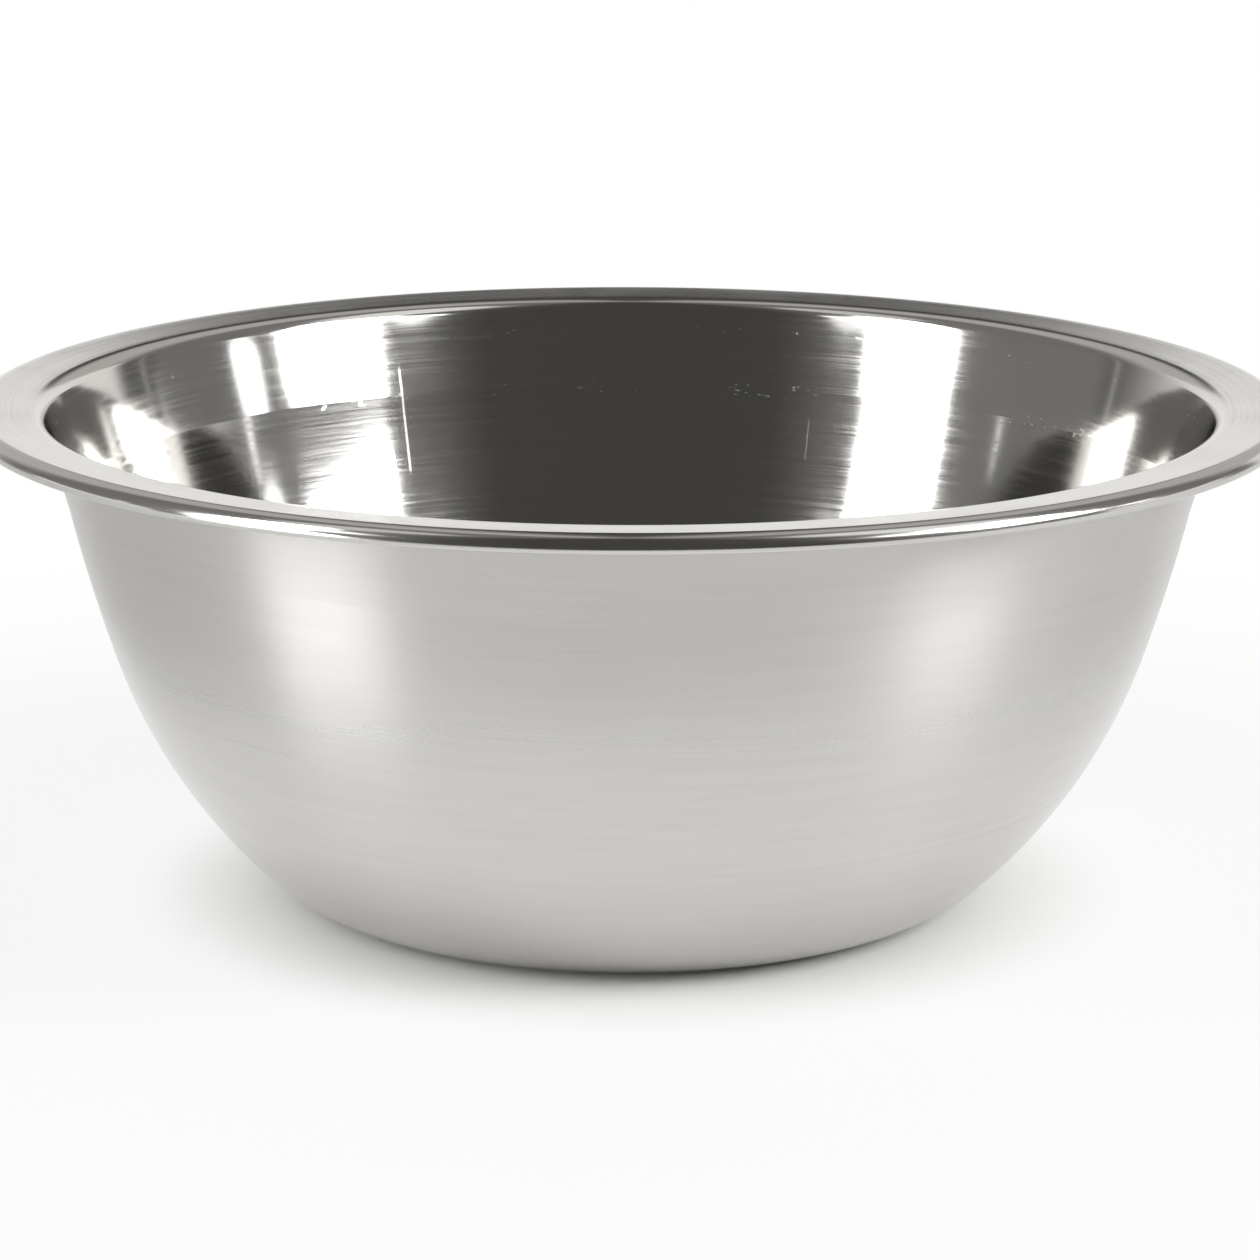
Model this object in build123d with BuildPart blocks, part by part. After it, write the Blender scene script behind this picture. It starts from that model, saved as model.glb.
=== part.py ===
# A stainless steel mixing bowl: one spun sheet with a flat base, a deep rounded
# belly, a faint nesting ring high on its wall and a wide flat lip, whose edge is
# turned down in a quarter round and tucked in.
#
# Sizes are millimetres. The origin is the middle of the base's underside, and the
# bowl opens upwards along +Z.
from build123d import *
from math import acos, atan2, cos, degrees, hypot, radians, sin, sqrt
import os

rim_diameter = 300.0  # over the turned-down edge
height = 116.0  # table to the top of the rim
base_diameter = 131.0  # the flat that it stands on
sheet = 0.6  # thickness of the steel

corner_radius = 28.9  # base into belly, to the middle of the sheet
belly_radius = 123.5  # the big arc of the wall, to the middle of the sheet
upper_belly_radius = 370.0  # the flatter arc above it
upper_belly_length = 35.4  # along the wall, up to the nesting ring
ring_step = 2.8  # degrees that the wall turns out at the nesting ring
ring_radius = 6.0  # how sharp that turn is
upper_wall = 21.9  # nesting ring to where wall and lip would meet

lip_width = 16.3  # edge in to where wall and lip would meet
lip_rise = 4.4  # degrees that the lip climbs towards its edge
lip_bend_radius = 3.7  # wall into lip

edge_radius = 3.2  # the turned-down edge, to its outside
tuck_radius = 0.8  # the tight turn under it, to its outside
tuck_turn = 150.0  # degrees from straight down to the cut edge, hidden inside

rim_radius = rim_diameter / 2

# the lip: a straight line that runs out to the quarter round
edge_centre = Vector(rim_radius - edge_radius, height - edge_radius)
lip_direction = Vector(cos(radians(lip_rise)), sin(radians(lip_rise)))
lip_normal = Vector(-lip_direction.Y, lip_direction.X)
lip_end = edge_centre + lip_normal * (edge_radius - sheet / 2)
lip_length = (lip_end.X - rim_radius + lip_width) / lip_direction.X
lip_corner = lip_end - lip_direction * lip_length

# the wall above the big arc, seen from that arc's centre with its end straight
# ahead: how far away and at what angle the lip corner is
upper_turn = upper_belly_length / upper_belly_radius
ring_height = (upper_belly_radius + ring_radius) * sin(upper_turn)
ring_out = (upper_belly_radius + ring_radius) * cos(upper_turn)
wall_lean = upper_turn - radians(ring_step)
wall_out = belly_radius - upper_belly_radius + ring_out
wall_out -= ring_radius * cos(wall_lean) + upper_wall * sin(wall_lean)
wall_height = ring_height - ring_radius * sin(wall_lean) + upper_wall * cos(wall_lean)
from_lip = hypot(wall_out, wall_height)
swing = atan2(wall_height, wall_out)

# the big arc's centre lies at two known distances: one from the corner's centre,
# and one from the lip corner
base_radius = base_diameter / 2
corner_centre = Vector(base_radius, corner_radius + sheet / 2)
from_corner = belly_radius - corner_radius
chord = lip_corner - corner_centre
along = (chord.length**2 + from_corner**2 - from_lip**2) / (2 * chord.length)
across = sqrt(from_corner**2 - along**2)
chord_direction = chord.normalized()
chord_normal = Vector(-chord_direction.Y, chord_direction.X)
belly_centre = corner_centre + chord_direction * along + chord_normal * across

to_corner = corner_centre - belly_centre
to_lip = lip_corner - belly_centre
belly_start = degrees(atan2(to_corner.Y, to_corner.X))
belly_end = degrees(atan2(to_lip.Y, to_lip.X) - swing)

with BuildPart() as bowl_shell:
    with BuildSketch(Plane.XZ):
        # the middle of the sheet, from the axis out to the cut edge
        with BuildLine():
            base = Line((0, sheet / 2), (base_radius, sheet / 2))
            corner = CenterArc(corner_centre, corner_radius, -90, belly_start + 90)
            belly = CenterArc(belly_centre, belly_radius, belly_start, belly_end - belly_start)
            upper_belly = JernArc(belly @ 1, belly % 1, upper_belly_radius, degrees(upper_turn))
            ring = JernArc(upper_belly @ 1, upper_belly % 1, ring_radius, -ring_step)
            lip = FilletPolyline(ring @ 1, lip_corner, lip_end, radius=lip_bend_radius)
            edge = JernArc(lip_end, lip_direction, edge_radius - sheet / 2, -90 - lip_rise)
            tuck = JernArc(edge @ 1, edge % 1, tuck_radius - sheet / 2, -tuck_turn)
        trace(line_width=sheet)
    revolve(axis=Axis.Z)

bowl_shell.part.label = "bowl_shell"

os.makedirs("parts", exist_ok=True)
export_step(bowl_shell.part, "parts/bowl_shell.step")
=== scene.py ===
import bpy
import math
from mathutils import Euler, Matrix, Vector


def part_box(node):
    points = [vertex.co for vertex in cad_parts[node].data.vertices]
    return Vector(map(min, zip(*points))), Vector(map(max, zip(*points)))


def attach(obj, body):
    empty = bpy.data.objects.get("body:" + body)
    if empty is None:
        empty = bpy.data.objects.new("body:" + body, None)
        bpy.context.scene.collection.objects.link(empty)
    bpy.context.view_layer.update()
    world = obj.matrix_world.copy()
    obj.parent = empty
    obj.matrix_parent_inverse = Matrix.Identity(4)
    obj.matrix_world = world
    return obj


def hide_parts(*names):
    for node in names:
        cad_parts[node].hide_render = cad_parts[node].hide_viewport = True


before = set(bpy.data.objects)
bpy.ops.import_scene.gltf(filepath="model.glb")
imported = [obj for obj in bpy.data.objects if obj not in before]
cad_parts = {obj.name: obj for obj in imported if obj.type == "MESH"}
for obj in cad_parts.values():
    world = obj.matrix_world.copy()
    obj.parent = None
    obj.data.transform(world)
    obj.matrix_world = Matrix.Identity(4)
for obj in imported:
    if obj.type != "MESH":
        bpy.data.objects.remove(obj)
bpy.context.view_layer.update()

print("frame loaded:", ", ".join(sorted(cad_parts)))

lowCorner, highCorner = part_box("bowl_shell")

# The bowl's own sizes, in metres. Its rim and height come from the frame.
bowl = {
    "rimRadius": min(-lowCorner.x, -lowCorner.y, highCorner.x, highCorner.y),
    "height": highCorner.z - lowCorner.z,
    "sheet": 0.0006,             # thickness of the steel
    "baseRadius": 0.0655,        # flat that it stands on
    "cornerRadius": 0.0289,      # base into belly, to the middle of the sheet
    "bellyRadius": 0.1235,       # the big arc of the wall
    "upperBellyRadius": 0.370,   # the flatter arc above it
    "upperBellyLength": 0.0354,
    "ringStep": 2.8,             # degrees that the wall turns out at the nesting ring
    "ringRadius": 0.006,
    "upperWall": 0.0219,         # nesting ring to where wall and lip would meet
    "lipWidth": 0.0163,          # edge in to where wall and lip would meet
    "lipRise": 4.4,              # degrees
    "lipBendRadius": 0.0037,
    "edgeRadius": 0.0032,        # the turned-down edge, to its outside
    "tuckRadius": 0.0008,        # the tight turn under it
    "tuckTurn": 150,             # degrees, to the cut edge
    "segments": 288,             # round the bowl
}


# walks along the middle of the sheet, as radius and height pairs
class SheetWalk:
    def __init__(self, start, heading):
        self.points = [Vector(start)]
        self.heading = heading

    def straight(self, length, steps):
        start = self.points[-1]
        way = Vector((math.cos(self.heading), math.sin(self.heading)))
        for i in range(1, steps + 1):
            self.points.append(start + way * length * i / steps)

    def bend(self, radius, turn, steps):  # a turn above 0 curls up and inwards
        side = math.copysign(1, turn)
        toCentre = Vector((-math.sin(self.heading), math.cos(self.heading))) * side
        centre = self.points[-1] + toCentre * radius
        for i in range(1, steps + 1):
            heading = self.heading + turn * i / steps
            outwards = Vector((math.sin(heading), -math.cos(heading))) * side
            self.points.append(centre + outwards * radius)
        self.heading += turn


def sheetLine(size):
    half = size["sheet"] / 2
    rise = math.radians(size["lipRise"])
    lipWay = Vector((math.cos(rise), math.sin(rise)))
    edgeCentre = Vector((size["rimRadius"], size["height"])) - Vector((1, 1)) * size["edgeRadius"]
    lipEnd = edgeCentre + Vector((-lipWay.y, lipWay.x)) * (size["edgeRadius"] - half)
    lipCorner = lipEnd - lipWay * ((lipEnd.x - size["rimRadius"] + size["lipWidth"]) / lipWay.x)

    # the wall above the big arc, seen from that arc's centre with its end straight ahead
    upperTurn = size["upperBellyLength"] / size["upperBellyRadius"]
    above = SheetWalk((size["bellyRadius"], 0), math.pi / 2)
    above.bend(size["upperBellyRadius"], upperTurn, 1)
    above.bend(size["ringRadius"], -math.radians(size["ringStep"]), 1)
    above.straight(size["upperWall"], 1)
    toLipCorner = above.points[-1]

    # the big arc's centre, from its distances to the corner's centre and to the lip corner
    cornerCentre = Vector((size["baseRadius"], size["cornerRadius"] + half))
    fromCorner = size["bellyRadius"] - size["cornerRadius"]
    chord = lipCorner - cornerCentre
    along = (chord.length ** 2 + fromCorner ** 2 - toLipCorner.length ** 2) / (2 * chord.length)
    across = math.sqrt(fromCorner ** 2 - along ** 2)
    way = chord.normalized()
    bellyCentre = cornerCentre + way * along + Vector((-way.y, way.x)) * across
    toCorner, toLip = cornerCentre - bellyCentre, lipCorner - bellyCentre
    bellyStart = math.atan2(toCorner.y, toCorner.x)
    bellyEnd = math.atan2(toLip.y, toLip.x) - math.atan2(toLipCorner.y, toLipCorner.x)

    walk = SheetWalk((size["baseRadius"] / 10, half), 0)
    walk.straight(size["baseRadius"] * 0.9, 9)
    walk.bend(size["cornerRadius"], bellyStart + math.pi / 2, 20)
    walk.bend(size["bellyRadius"], bellyEnd - bellyStart, 26)
    walk.bend(size["upperBellyRadius"], upperTurn, 8)
    walk.bend(size["ringRadius"], -math.radians(size["ringStep"]), 3)
    lipTurn = rise - walk.heading
    bendLeg = size["lipBendRadius"] * math.tan(-lipTurn / 2)
    walk.straight((lipCorner - walk.points[-1]).length - bendLeg, 5)
    walk.bend(size["lipBendRadius"], lipTurn, 16)
    walk.straight((lipEnd - walk.points[-1]).length, 6)
    walk.bend(size["edgeRadius"] - half, -math.pi / 2 - rise, 24)
    walk.bend(size["tuckRadius"] - half, -math.radians(size["tuckTurn"]), 14)
    return walk.points


def deselectAll():
    if bpy.context.object and bpy.context.object.mode == "EDIT":
        bpy.ops.object.mode_set(mode="OBJECT")
    bpy.ops.object.select_all(action="DESELECT")


# one ring of the bowl pulled out of the last one
def pullRing(last, new):
    bpy.ops.mesh.extrude_region_move(
        TRANSFORM_OT_translate={"value": (0, 0, new.y - last.y)}
    )
    wider = new.x / last.x
    bpy.ops.transform.resize(value=(wider, wider, 1), center_override=(0, 0, new.y))


def makeBowl(size):
    deselectAll()
    rings = sheetLine(size)
    bpy.ops.mesh.primitive_circle_add(
        vertices=size["segments"], radius=rings[0].x, fill_type="TRIFAN",
        location=(0, 0, rings[0].y),
    )
    shell = bpy.context.object
    shell.name = "mixingBowl"
    bpy.ops.object.transform_apply(location=True, rotation=True, scale=True)
    bpy.ops.object.mode_set(mode="EDIT")
    bpy.ops.mesh.select_all(action="DESELECT")
    bpy.ops.mesh.select_non_manifold()
    for last, new in zip(rings, rings[1:]):
        pullRing(last, new)
    bpy.ops.mesh.select_all(action="SELECT")
    bpy.ops.mesh.remove_doubles(threshold=0.00001)
    bpy.ops.mesh.normals_make_consistent(inside=False)
    bpy.ops.object.mode_set(mode="OBJECT")

    thickness = shell.modifiers.new("sheetThickness", "SOLIDIFY")
    thickness.thickness = size["sheet"]
    thickness.offset = 0
    thickness.use_even_offset = True
    thickness.use_rim = True
    bpy.ops.object.modifier_apply(modifier=thickness.name)
    bpy.ops.object.shade_smooth_by_angle(angle=math.radians(40))
    print("bowl pulled up:", len(rings), "rings,", len(shell.data.polygons), "faces")
    return shell


bowlShell = makeBowl(bowl)


# the nodes of one finish, or of the room, with the few kinds of node that all of them use
class FinishNodes:
    def __init__(self, tree):
        self.tree = tree
        self.shader = tree.nodes.get("Principled BSDF")
        self.output = tree.nodes.get("Material Output")

    def add(self, kind, inputs=None, **settings):
        node = self.tree.nodes.new(kind)
        for key, value in settings.items():
            setattr(node, key, value)
        for key, value in (inputs or {}).items():
            if isinstance(value, bpy.types.NodeSocket):
                self.tree.links.new(value, node.inputs[key])
            else:
                node.inputs[key].default_value = value
        return node

    def math(self, operation, first, second=0.0):
        return self.add("ShaderNodeMath", {0: first, 1: second}, operation=operation).outputs[0]

    def vector(self, operation, first, second):
        return self.add("ShaderNodeVectorMath", {0: first, 1: second}, operation=operation).outputs

    def spread(self, value, fromLow, fromHigh, toLow, toHigh, shape="LINEAR"):
        inputs = {
            "Value": value, "From Min": fromLow, "From Max": fromHigh,
            "To Min": toLow, "To Max": toHigh,
        }
        return self.add("ShaderNodeMapRange", inputs, interpolation_type=shape).outputs[0]

    def noise(self, vector, scale, detail=2.0, roughness=0.5):
        inputs = {"Vector": vector, "Scale": scale, "Detail": detail, "Roughness": roughness}
        return self.add("ShaderNodeTexNoise", inputs).outputs["Fac"]

    # where a point lies: place, distance from the axis, height, and the way out from the axis
    def whereabouts(self):
        place = self.add("ShaderNodeTexCoord").outputs["Object"]
        parts = self.add("ShaderNodeSeparateXYZ", {0: place}).outputs
        flat = self.add("ShaderNodeCombineXYZ", {0: parts[0], 1: parts[1]}).outputs[0]
        radius = self.vector("LENGTH", flat, (0, 0, 0))["Value"]
        outwards = self.vector("NORMALIZE", flat, (0, 0, 0))[0]
        return place, radius, parts[2], outwards

    # noise drawn out round the bowl, as a turning polish leaves it
    def turnedNoise(self, outwards, radius, height, length, fineness, detail=3.0):
        fine = self.math("MULTIPLY", self.math("ADD", radius, height), fineness)
        drawn = self.vector("MULTIPLY", outwards, (length, length, length))[0]
        lift = self.add("ShaderNodeCombineXYZ", {2: fine}).outputs[0]
        return self.noise(self.vector("ADD", drawn, lift)[0], 1.0, detail, 0.6)

    # 1 between two heights, fading to 0 over a soft margin outside them
    def heightBand(self, height, low, high, soft):
        above = self.spread(height, low - soft, low, 0, 1, "SMOOTHSTEP")
        below = self.spread(height, high, high + soft, 1, 0, "SMOOTHSTEP")
        return self.math("MULTIPLY", above, below)

    # 1 on a thin upright line at one angle round the bowl
    def uprightLine(self, outwards, angle, width):
        turn = math.radians(angle)
        across = self.vector("DOT_PRODUCT", outwards, (-math.sin(turn), math.cos(turn), 0))["Value"]
        facing = self.vector("DOT_PRODUCT", outwards, (math.cos(turn), math.sin(turn), 0))["Value"]
        narrow = self.spread(self.math("ABSOLUTE", across), width / 3, width, 1, 0, "SMOOTHSTEP")
        return self.math("MULTIPLY", narrow, self.math("GREATER_THAN", facing, 0.0))

    def feed(self, socket, output):
        self.tree.links.new(output, self.shader.inputs[socket])


def newMaterial(name):
    material = bpy.data.materials.new(name)
    material.use_nodes = True
    return material, FinishNodes(material.node_tree)


steel = {
    "colour": (0.62, 0.61, 0.59, 1),
    "insideRoughness": 0.085,
    "lipRoughness": 0.13,
    "wallRoughness": (0.20, 0.34),    # low on the wall, and up by the rim
    "wallAnisotropy": 0.95,
    "scuffRoughness": 0.3,
    "nestingHeight": (0.0922, 0.0948),
    "looseMarksAbove": 0.0115,        # from the nesting band up to the few marks over it
    # fine rings left outside by the spinning tool: lowest, highest, soft margin
    "toolRings": (
        (0.0322, 0.0326, 0.0004),
        (0.0349, 0.0351, 0.0003),
        (0.0552, 0.0554, 0.0003),
    ),
    # upright scratches inside: angle round the bowl, lowest, highest, half width, depth
    "scratches": (
        (117.0, 0.0765, 0.0985, 0.0036, 0.5),
        (118.9, 0.0705, 0.0780, 0.0030, 0.4),
        (68.7, 0.0780, 0.0850, 0.0026, 0.3),
        (90.4, 0.0800, 0.0960, 0.0026, 0.14),
    ),
}


def startSteel(name):
    material, finish = newMaterial(name)
    finish.shader.inputs["Base Color"].default_value = steel["colour"]
    finish.shader.inputs["Metallic"].default_value = 1
    return material, finish


# mirror polish, with turning lines, scratches and the marks of bowls stacked in it
def finishInside():
    material, finish = startSteel("polishedInside")
    place, radius, height, outwards = finish.whereabouts()
    fineLines = finish.turnedNoise(outwards, radius, height, 1.6, 2600)
    broadLines = finish.turnedNoise(outwards, radius, height, 4.0, 900)
    patches = finish.noise(place, 26, 3)
    hazy = finish.spread(patches, 0.5, 0.72, 0.0, 1.0)
    rough = finish.spread(fineLines, 0.32, 0.7, -0.022, 0.03)
    rough = finish.math("ADD", rough, finish.spread(broadLines, 0.45, 0.72, 0.0, 0.03))
    rough = finish.math("ADD", rough, finish.math("MULTIPLY", hazy, 0.02))
    rough = finish.math("ADD", rough, steel["insideRoughness"])

    low, high = steel["nestingHeight"]
    speckle = finish.turnedNoise(outwards, radius, height, 62, 900, 2)
    gaps = finish.noise(place, 34, 2)
    dashes = finish.spread(speckle, 0.6, 0.72, 0, 0.9)
    dashes = finish.math("MULTIPLY", dashes, finish.spread(gaps, 0.44, 0.58, 0, 1))
    marks = finish.math("MULTIPLY", finish.heightBand(height, low, high, 0.0008), dashes)
    looseLow = high + steel["looseMarksAbove"]
    loose = finish.spread(speckle, 0.66, 0.76, 0, 0.7)
    loose = finish.math("MULTIPLY", loose, finish.heightBand(height, looseLow, looseLow + 0.002, 0.001))
    marks = finish.math("MAXIMUM", marks, loose)
    for angle, bottom, top, width, depth in steel["scratches"]:
        line = finish.math("MULTIPLY", finish.uprightLine(outwards, angle, width), depth)
        line = finish.math("MULTIPLY", line, finish.heightBand(height, bottom, top, 0.003))
        marks = finish.math("MAXIMUM", marks, line)
    rough = finish.math("ADD", rough, finish.math("MULTIPLY", marks, steel["scuffRoughness"]))
    finish.feed("Roughness", rough)

    relief = finish.math("ADD", fineLines, finish.math("MULTIPLY", broadLines, 0.3))
    bump = finish.add("ShaderNodeBump", {"Strength": 0.07, "Distance": 0.00002, "Height": relief})
    finish.feed("Normal", bump.outputs[0])
    return material


# the lip and its turned-down edge, a little duller than the inside
def finishLip():
    material, finish = startSteel("satinLip")
    place, radius, height, outwards = finish.whereabouts()
    lines = finish.turnedNoise(outwards, radius, height, 1.8, 2400)
    handled = finish.noise(place, 30, 3)
    rough = finish.spread(lines, 0.3, 0.7, -0.03, 0.035)
    rough = finish.math("ADD", rough, finish.spread(handled, 0.45, 0.75, 0.0, 0.05))
    finish.feed("Roughness", finish.math("ADD", rough, steel["lipRoughness"]))
    bump = finish.add("ShaderNodeBump", {"Strength": 0.12, "Distance": 0.00002, "Height": lines})
    finish.feed("Normal", bump.outputs[0])
    return material


# brushed round and round, so light spreads up and down the wall
def finishOutside():
    material, finish = startSteel("brushedOutside")
    place, radius, height, outwards = finish.whereabouts()
    brushing = finish.turnedNoise(outwards, radius, height, 2.2, 1900)
    broad = finish.turnedNoise(outwards, radius, height, 3.0, 260, 2)
    patches = finish.noise(place, 16, 3)
    rough = finish.spread(height, 0.044, 0.086, *steel["wallRoughness"], "SMOOTHSTEP")
    rough = finish.math("ADD", rough, finish.spread(brushing, 0.3, 0.7, -0.02, 0.025))
    rough = finish.math("ADD", rough, finish.spread(patches, 0.4, 0.7, -0.01, 0.012))

    rings = 0.0
    for low, high, soft in steel["toolRings"]:
        rings = finish.math("MAXIMUM", rings, finish.heightBand(height, low, high, soft))
    rings = finish.math("MULTIPLY", rings, finish.spread(patches, 0.42, 0.6, 0.15, 1))
    rough = finish.math("ADD", rough, finish.math("MULTIPLY", rings, 0.03))
    finish.feed("Roughness", rough)

    # small dings here and there: dents in the bump, with painted shade darkening their colour
    cells = finish.add("ShaderNodeTexVoronoi", {"Vector": place, "Scale": 42.0, "Randomness": 1.0})
    pick = finish.add("ShaderNodeSeparateColor", {0: cells.outputs["Color"]}).outputs[0]
    dentsWithPaintedShade = finish.spread(cells.outputs["Distance"], 0.016, 0.034, 1, 0, "SMOOTHSTEP")
    dentsWithPaintedShade = finish.math("MULTIPLY", dentsWithPaintedShade, finish.math("GREATER_THAN", pick, 0.72))
    tone = finish.spread(broad, 0.3, 0.7, 0.982, 1.014)
    # painted shade in the dents: their colour is made darker
    tone = finish.math("SUBTRACT", tone, finish.math("MULTIPLY", dentsWithPaintedShade, 0.12))
    tone = finish.math("SUBTRACT", tone, finish.math("MULTIPLY", rings, 0.012))
    scaled = {0: steel["colour"][:3], "Scale": tone}
    colour = finish.add("ShaderNodeVectorMath", scaled, operation="SCALE")
    finish.feed("Base Color", colour.outputs[0])

    relief = finish.math("MULTIPLY", brushing, 0.5)
    relief = finish.math("SUBTRACT", relief, finish.math("MULTIPLY", dentsWithPaintedShade, 1.6))
    relief = finish.math("SUBTRACT", relief, finish.math("MULTIPLY", rings, 0.06))
    bump = finish.add("ShaderNodeBump", {"Strength": 0.2, "Distance": 0.00003, "Height": relief})
    finish.feed("Normal", bump.outputs[0])
    finish.shader.inputs["Anisotropic"].default_value = steel["wallAnisotropy"]
    around = finish.vector("CROSS_PRODUCT", (0, 0, 1), outwards)[0]
    normal = finish.add("ShaderNodeNewGeometry").outputs["Normal"]
    finish.feed("Tangent", finish.vector("CROSS_PRODUCT", around, normal)[0])
    return material


# inside, lip and outside are told apart by where their faces lie and which way they look
def dressBowl(shell, size):
    for material in (finishInside(), finishLip(), finishOutside()):
        shell.data.materials.append(material)
    lipInner = size["rimRadius"] - size["lipWidth"] - 0.0005
    lipHeight = size["height"] - 0.0045
    for face in shell.data.polygons:
        middle = face.center
        radius = math.hypot(middle.x, middle.y)
        upwards = face.normal.z > 0
        if radius > lipInner and middle.z > lipHeight:
            outermost = radius > size["rimRadius"] - size["edgeRadius"] - 0.001
            face.material_index = 1 if upwards or outermost else 2
        else:
            face.material_index = 0 if upwards else 2


dressBowl(bowlShell, bowl)
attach(bowlShell, "root")
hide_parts("bowl_shell")
print("bowl dressed")


# each lamp: degrees round from the camera's side, degrees up, distance, brightness as seen
lamps = {
    "softboxLeft": ((-76.5, -54), (-6, 46), 1.9, 6.5, "ELLIPSE"),
    "lowLeft": ((-58, -46.5), (-7, 9), 1.9, 8.0, "ELLIPSE"),
    "shoulderLeft": ((-57, -44), (21, 34), 1.8, 1.6, "ELLIPSE"),
    "ceilingLeft": ((-92, -50), (46, 70), 2.2, 0.55, "ELLIPSE"),
    "softboxRight": ((58, 82), (15.4, 41), 1.9, 14.0, "RECTANGLE"),
    "shoulderRight": ((42, 60), (22, 36), 1.8, 2.4, "ELLIPSE"),
    "ceilingRight": ((45, 98), (42, 72), 2.2, 0.85, "ELLIPSE"),
    "smallLamp": ((88, 95.5), (11.5, 16.5), 1.9, 3.0, "ELLIPSE"),
    "standRight": ((93, 94.4), (6, 11), 1.85, 2.0, "RECTANGLE"),
    "standLeft": ((-91, -89.9), (5, 11), 1.85, 1.3, "RECTANGLE"),
}
lampLift = 0.1   # each middle above the height that its angles give

studio = {
    "floorRadius": 4.5,
    # painted shade on the floor out to the two sides: the share of the lift to white kept there
    "paintedSideShade": (0.36, 0.56),  # share of the lift to white, out to the left and right
    "backdropRadius": 4.2,
    "backdropHeight": 1.25,
    "backdropFront": -0.4,       # it is open to the camera in front of this
    "footHeight": (0.68, 0.50),  # of its white foot, to the right and to the left
    "room": (0.075, 0.23, 0.5),  # along the middle, out to the sides, and added behind
}


def addLamp(name, azimuths, elevations, distance, brightness, shape):
    middle = math.radians(sum(azimuths) / 2)
    low, high = (distance * math.tan(math.radians(angle)) for angle in elevations)
    deselectAll()
    away = (math.sin(middle) * distance, -math.cos(middle) * distance)
    bpy.ops.object.light_add(type="AREA", location=(*away, (low + high) / 2 + lampLift))
    lamp = bpy.context.object
    lamp.name = name
    lamp.data.shape = shape
    lamp.data.size = 2 * distance * math.tan(math.radians(azimuths[1] - azimuths[0]) / 2)
    lamp.data.size_y = high - low
    area = lamp.data.size * lamp.data.size_y
    if shape == "ELLIPSE":
        area *= math.pi / 4
    lamp.data.energy = brightness * math.pi * area
    lamp.rotation_euler = (math.radians(90), 0, middle)
    lamp.visible_camera = False


for lampName, settings in lamps.items():
    addLamp(lampName, *settings)


# what the camera and the steel see of a pale surface: its own shade, lifted towards white
def liftToWhite(finish, lift):
    rays = finish.add("ShaderNodeLightPath").outputs
    seen = finish.math("MAXIMUM", rays["Is Camera Ray"], rays["Is Glossy Ray"])
    seen = finish.math("MAXIMUM", seen, rays["Is Transmission Ray"])
    share = finish.math("MULTIPLY", seen, lift)
    glow = finish.add("ShaderNodeEmission", {"Color": (1, 1, 1, 1), "Strength": 1.0})
    shaders = {0: share, 1: finish.shader.outputs[0], 2: glow.outputs[0]}
    mix = finish.add("ShaderNodeMixShader", shaders)
    finish.tree.links.new(mix.outputs[0], finish.output.inputs["Surface"])


def finishFloor():
    material, finish = newMaterial("paleFloor")
    place, radius, _, _ = finish.whereabouts()
    finish.shader.inputs["Base Color"].default_value = (0.85, 0.85, 0.84, 1)
    finish.shader.inputs["Roughness"].default_value = 0.7
    finish.shader.inputs["Specular IOR Level"].default_value = 0.2
    # painted shade round the foot: the lift to white fades to nothing near the bowl, so the darker ring
    # there is partly real shadow and partly painted shade, and the wall's bottom reflects it darker
    foot = finish.spread(radius, 0.072, 0.118, 0.0, 0.84, "SMOOTHSTEP")
    away = finish.spread(radius, 0.15, 0.4, 0.0, 0.16, "SMOOTHSTEP")

    # painted shade on the floor: past a line on each side that opens away from the camera, less of the
    # lift to white, so the floor there and its reflection in the steel are greyer
    parts = finish.add("ShaderNodeSeparateXYZ", {0: place}).outputs
    opening = finish.math("MULTIPLY", parts[1], 0.139)
    aside = finish.math("SUBTRACT", finish.math("ABSOLUTE", parts[0]), opening)
    leftShade, rightShade = studio["paintedSideShade"]
    shade = finish.spread(finish.math("GREATER_THAN", parts[0], 0.0), 0, 1, leftShade, rightShade)
    nearness = finish.spread(aside, 0.17, 0.23, 1, 0, "SMOOTHSTEP")
    regained = finish.math("MULTIPLY", nearness, finish.math("SUBTRACT", 1.0, shade))
    sides = finish.math("ADD", shade, regained)
    liftToWhite(finish, finish.math("MULTIPLY", finish.math("ADD", foot, away), sides))
    return material


deselectAll()
bpy.ops.mesh.primitive_circle_add(
    vertices=96, radius=studio["floorRadius"], fill_type="NGON", location=(0, 0, 0)
)
floor = bpy.context.object
floor.name = "studioFloor"
floor.data.materials.append(finishFloor())


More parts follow.
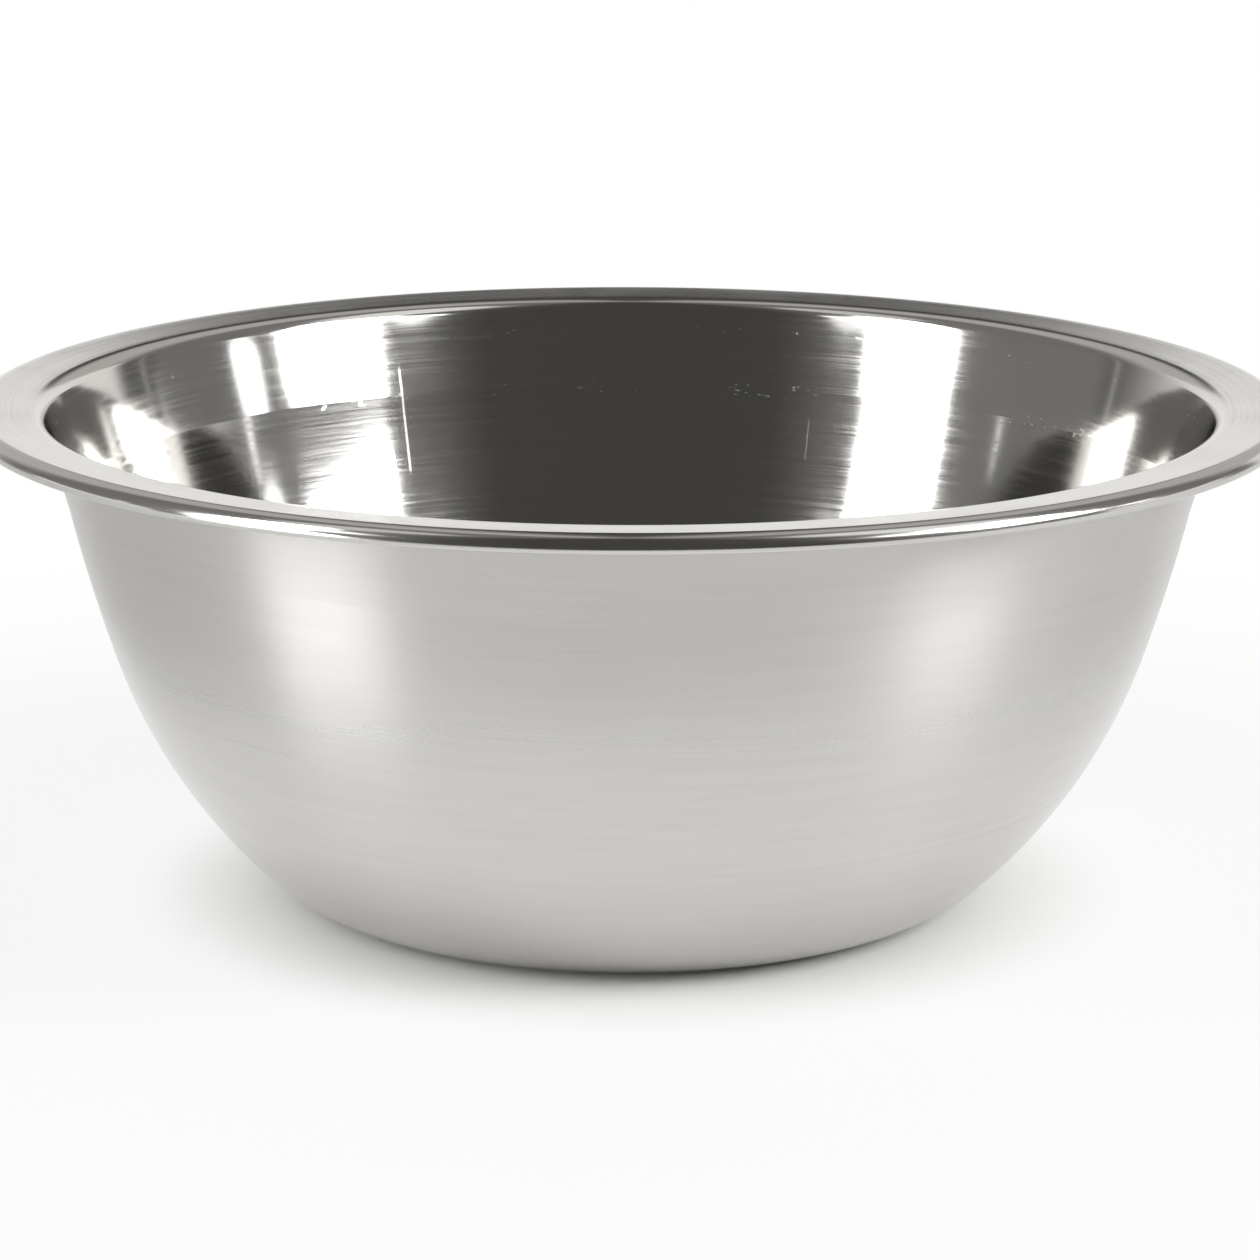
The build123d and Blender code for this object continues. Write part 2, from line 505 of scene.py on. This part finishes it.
# a backdrop that glows with painted light: white behind the bowl and at its foot, and grey round
# towards the sides, for the steel to reflect
def finishBackdrop():
    material, finish = newMaterial("glowingBackdrop")
    _, _, height, outwards = finish.whereabouts()
    way = finish.add("ShaderNodeSeparateXYZ", {0: outwards}).outputs
    onRight = finish.math("GREATER_THAN", way[0], 0.0)
    right = finish.spread(way[1], 0.60, 0.68, 0.15, 1.0, "SMOOTHSTEP")
    left = finish.spread(way[1], 0.50, 0.97, 0.17, 1.0, "SMOOTHSTEP")
    # a painted brighter line in the backdrop's glow
    seam = finish.math("MULTIPLY", finish.heightBand(way[1], 0.505, 0.515, 0.01), 0.3)
    sides = finish.spread(way[1], 0.40, 0.48, 0.07, 0.0, "SMOOTHSTEP")
    upper = finish.add("ShaderNodeMix", {0: onRight, 2: left, 3: right}).outputs[0]
    upper = finish.math("ADD", finish.math("ADD", upper, seam), sides)
    rightFoot, leftFoot = studio["footHeight"]
    footTop = finish.spread(onRight, 0, 1, leftFoot, rightFoot)
    low = finish.math("SUBTRACT", footTop, height)
    foot = finish.spread(low, -0.04, 0.06, 0, 1, "SMOOTHSTEP")
    foot = finish.math("MULTIPLY", foot, finish.spread(way[1], 0.44, 0.49, 1, 0, "SMOOTHSTEP"))
    bright = finish.math("MINIMUM", finish.math("MAXIMUM", upper, foot), 1.0)
    glow = finish.add("ShaderNodeEmission", {"Color": (1, 0.99, 0.97, 1), "Strength": bright})
    finish.tree.links.new(glow.outputs[0], finish.output.inputs["Surface"])
    return material


deselectAll()
bpy.ops.mesh.primitive_circle_add(
    vertices=96, radius=studio["backdropRadius"], fill_type="NOTHING", location=(0, 0, 0)
)
backdrop = bpy.context.object
backdrop.name = "studioBackdrop"
bpy.ops.object.mode_set(mode="EDIT")
bpy.ops.mesh.select_all(action="SELECT")
bpy.ops.mesh.extrude_region_move(
    TRANSFORM_OT_translate={"value": (0, 0, studio["backdropHeight"])}
)
bpy.ops.mesh.select_all(action="SELECT")
bpy.ops.mesh.bisect(plane_co=(0, studio["backdropFront"], 0), plane_no=(0, 1, 0), clear_inner=True)
bpy.ops.object.mode_set(mode="OBJECT")
backdrop.data.materials.append(finishBackdrop())


# a dim room, darkest along the middle and lighter to the sides and behind
def makeRoom():
    world = bpy.data.worlds.new("dimRoom")
    bpy.context.scene.world = world
    world.use_nodes = True
    room = FinishNodes(world.node_tree)
    middle, sides, behind = studio["room"]
    way = room.add("ShaderNodeTexCoord").outputs["Generated"]
    level = room.vector("NORMALIZE", room.vector("MULTIPLY", way, (1, 1, 0))[0], (0, 0, 0))[0]
    parts = room.add("ShaderNodeSeparateXYZ", {0: level}).outputs
    across = room.math("ABSOLUTE", parts[0])
    glow = room.spread(across, 0.5, 0.88, middle, sides, "SMOOTHSTEP")
    back = room.spread(parts[1], 0.5, 0.8, 0, behind, "SMOOTHSTEP")
    back = room.math("MULTIPLY", back, room.spread(across, 0.03, 0.3, 0, 1, "SMOOTHSTEP"))
    background = room.tree.nodes["Background"]
    background.inputs["Color"].default_value = (1, 0.98, 0.95, 1)
    room.tree.links.new(room.math("ADD", glow, back), background.inputs["Strength"])


makeRoom()
print("studio lit")


camera = {
    "place": (0, -1.01727, 0.31012),
    "tilt": 13.802,     # degrees down
    "yaw": 0.008,
    "roll": 0.136,
    "lens": 129.31,
}
deselectAll()
bpy.ops.object.camera_add(location=camera["place"])
viewCamera = bpy.context.object
viewCamera.name = "viewCamera"
turned = Euler((0, 0, math.radians(-camera["yaw"]))).to_matrix()
tilted = Euler((math.radians(90 - camera["tilt"]), 0, 0)).to_matrix()
rolled = Euler((0, 0, math.radians(camera["roll"]))).to_matrix()
viewCamera.rotation_euler = (turned @ tilted @ rolled).to_euler()
viewCamera.data.lens = camera["lens"]
viewCamera.data.sensor_width = 36
viewCamera.data.clip_start = 0.05
viewCamera.data.clip_end = 50
bpy.context.scene.camera = viewCamera
bpy.context.scene.view_settings.view_transform = "Standard"
print("camera set")
